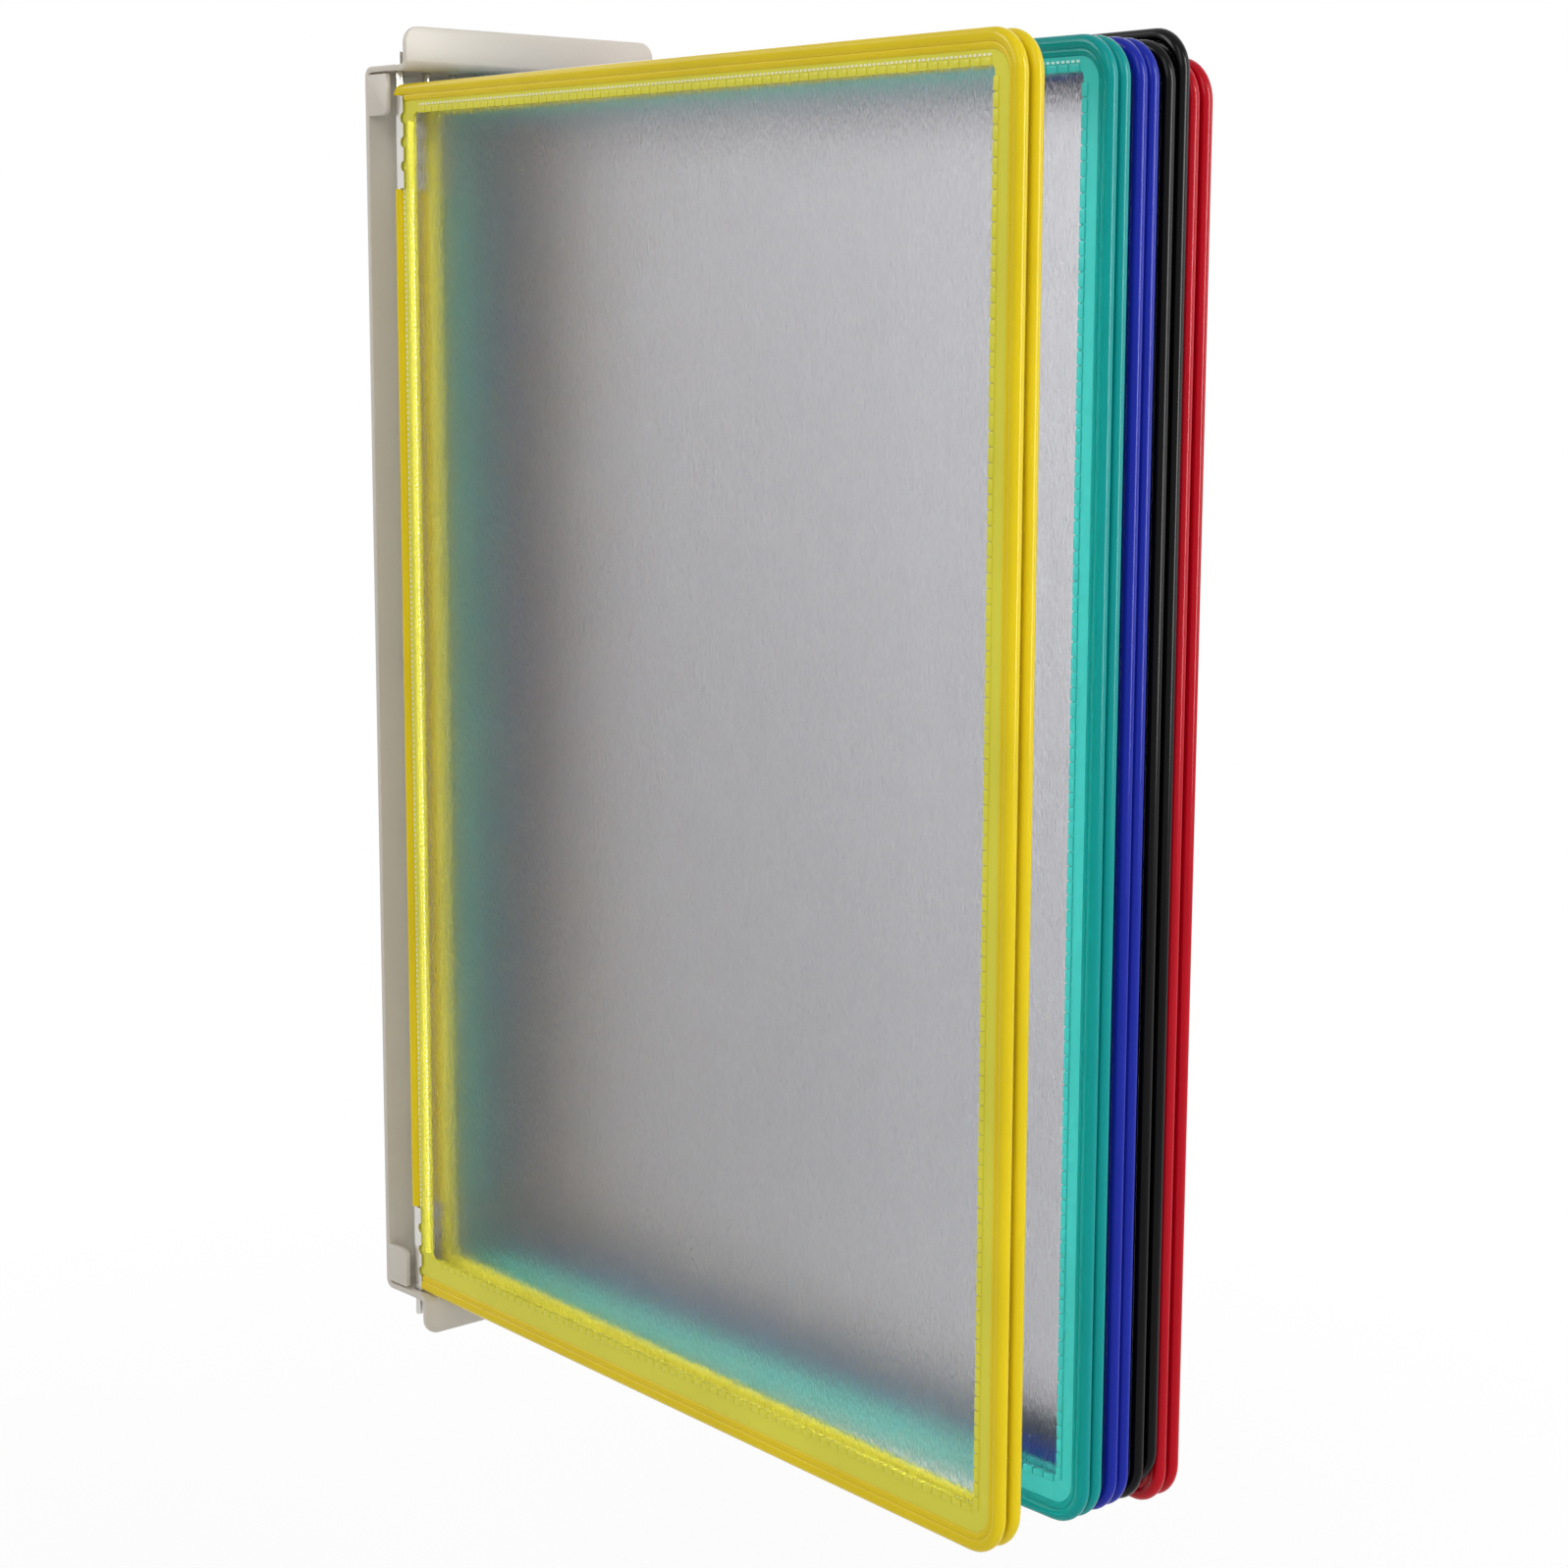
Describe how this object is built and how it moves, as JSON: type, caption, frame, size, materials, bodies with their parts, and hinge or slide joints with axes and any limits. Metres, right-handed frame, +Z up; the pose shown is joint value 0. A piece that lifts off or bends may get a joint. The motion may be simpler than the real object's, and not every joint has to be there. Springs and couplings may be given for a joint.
{
  "type": "magnetic document holder",
  "caption": "Magnet-backed folded steel wall bracket carrying a fan of clear document pockets with coloured edging that swing on pins like pages.",
  "frame": {"origin": "centre of the back face of the middle magnet, the face that meets the steel wall", "axes": "+Z up along the hinge pins, +Y into the wall, -Y out of the wall along the pockets, +X along the row of pins"},
  "size_m": [0.0897, 0.2474, 0.343],
  "materials": {
    "bracket_paint": "satin grey-beige powder coat",
    "magnet": "plain ferrite",
    "nickel_steel": "bright nickel plate",
    "yellow_vinyl": "glossy soft vinyl",
    "green_vinyl": "glossy soft vinyl",
    "blue_vinyl": "glossy soft vinyl",
    "black_vinyl": "glossy soft vinyl",
    "red_vinyl": "glossy soft vinyl",
    "clear_film": "clear film with a fine embossed grain"
  },
  "bodies": {
    "wall_bracket": {"bracket": "bracket_paint", "magnet_top": "magnet", "magnet_middle": "magnet", "magnet_bottom": "magnet"},
    "yellow_1": {"yellow_1_wire": "nickel_steel", "yellow_1_edging": "yellow_vinyl", "yellow_1_sleeve": "clear_film", "yellow_1_clip_top": "nickel_steel", "yellow_1_clip_bottom": "nickel_steel"},
    "yellow_2": {"yellow_2_wire": "nickel_steel", "yellow_2_edging": "yellow_vinyl", "yellow_2_sleeve": "clear_film", "yellow_2_clip_top": "nickel_steel", "yellow_2_clip_bottom": "nickel_steel"},
    "green_1": {"green_1_wire": "nickel_steel", "green_1_edging": "green_vinyl", "green_1_sleeve": "clear_film", "green_1_clip_top": "nickel_steel", "green_1_clip_bottom": "nickel_steel"},
    "green_2": {"green_2_wire": "nickel_steel", "green_2_edging": "green_vinyl", "green_2_sleeve": "clear_film", "green_2_clip_top": "nickel_steel", "green_2_clip_bottom": "nickel_steel"},
    "blue_1": {"blue_1_wire": "nickel_steel", "blue_1_edging": "blue_vinyl", "blue_1_sleeve": "clear_film", "blue_1_clip_top": "nickel_steel", "blue_1_clip_bottom": "nickel_steel"},
    "blue_2": {"blue_2_wire": "nickel_steel", "blue_2_edging": "blue_vinyl", "blue_2_sleeve": "clear_film", "blue_2_clip_top": "nickel_steel", "blue_2_clip_bottom": "nickel_steel"},
    "black_1": {"black_1_wire": "nickel_steel", "black_1_edging": "black_vinyl", "black_1_sleeve": "clear_film", "black_1_clip_top": "nickel_steel", "black_1_clip_bottom": "nickel_steel"},
    "black_2": {"black_2_wire": "nickel_steel", "black_2_edging": "black_vinyl", "black_2_sleeve": "clear_film", "black_2_clip_top": "nickel_steel", "black_2_clip_bottom": "nickel_steel"},
    "red_1": {"red_1_wire": "nickel_steel", "red_1_edging": "red_vinyl", "red_1_sleeve": "clear_film", "red_1_clip_top": "nickel_steel", "red_1_clip_bottom": "nickel_steel"},
    "red_2": {"red_2_wire": "nickel_steel", "red_2_edging": "red_vinyl", "red_2_sleeve": "clear_film", "red_2_clip_top": "nickel_steel", "red_2_clip_bottom": "nickel_steel"}
  },
  "joints": [
    {"name": "yellow_1_swing", "type": "hinge", "parent": "wall_bracket", "child": "yellow_1", "pos_m": [-0.0369, -0.0164, 0], "axis": [0, 0, 1], "range_deg": [-75, 0]},
    {"name": "yellow_2_swing", "type": "hinge", "parent": "wall_bracket", "child": "yellow_2", "pos_m": [-0.0287, -0.0164, 0], "axis": [0, 0, 1], "range_deg": [-55.5, 0]},
    {"name": "green_1_swing", "type": "hinge", "parent": "wall_bracket", "child": "green_1", "pos_m": [-0.0205, -0.0164, 0], "axis": [0, 0, 1], "range_deg": [0, 29.75]},
    {"name": "green_2_swing", "type": "hinge", "parent": "wall_bracket", "child": "green_2", "pos_m": [-0.0123, -0.0164, 0], "axis": [0, 0, 1], "range_deg": [0, 35.7]},
    {"name": "blue_1_swing", "type": "hinge", "parent": "wall_bracket", "child": "blue_1", "pos_m": [-0.0041, -0.0164, 0], "axis": [0, 0, 1], "range_deg": [0, 41.65]},
    {"name": "blue_2_swing", "type": "hinge", "parent": "wall_bracket", "child": "blue_2", "pos_m": [0.0041, -0.0164, 0], "axis": [0, 0, 1], "range_deg": [0, 47.6]},
    {"name": "black_1_swing", "type": "hinge", "parent": "wall_bracket", "child": "black_1", "pos_m": [0.0123, -0.0164, 0], "axis": [0, 0, 1], "range_deg": [0, 53.55]},
    {"name": "black_2_swing", "type": "hinge", "parent": "wall_bracket", "child": "black_2", "pos_m": [0.0205, -0.0164, 0], "axis": [0, 0, 1], "range_deg": [0, 59.5]},
    {"name": "red_1_swing", "type": "hinge", "parent": "wall_bracket", "child": "red_1", "pos_m": [0.0287, -0.0164, 0], "axis": [0, 0, 1], "range_deg": [0, 65.45]},
    {"name": "red_2_swing", "type": "hinge", "parent": "wall_bracket", "child": "red_2", "pos_m": [0.0369, -0.0164, 0], "axis": [0, 0, 1], "range_deg": [0, 85]}
  ],
  "couplings": [
    {"joint": "yellow_2_swing", "follows": "yellow_1_swing", "ratio": 0.74},
    {"joint": "green_1_swing", "follows": "red_2_swing", "ratio": 0.35},
    {"joint": "green_2_swing", "follows": "red_2_swing", "ratio": 0.42},
    {"joint": "blue_1_swing", "follows": "red_2_swing", "ratio": 0.49},
    {"joint": "blue_2_swing", "follows": "red_2_swing", "ratio": 0.56},
    {"joint": "black_1_swing", "follows": "red_2_swing", "ratio": 0.63},
    {"joint": "black_2_swing", "follows": "red_2_swing", "ratio": 0.7},
    {"joint": "red_1_swing", "follows": "red_2_swing", "ratio": 0.77}
  ]
}
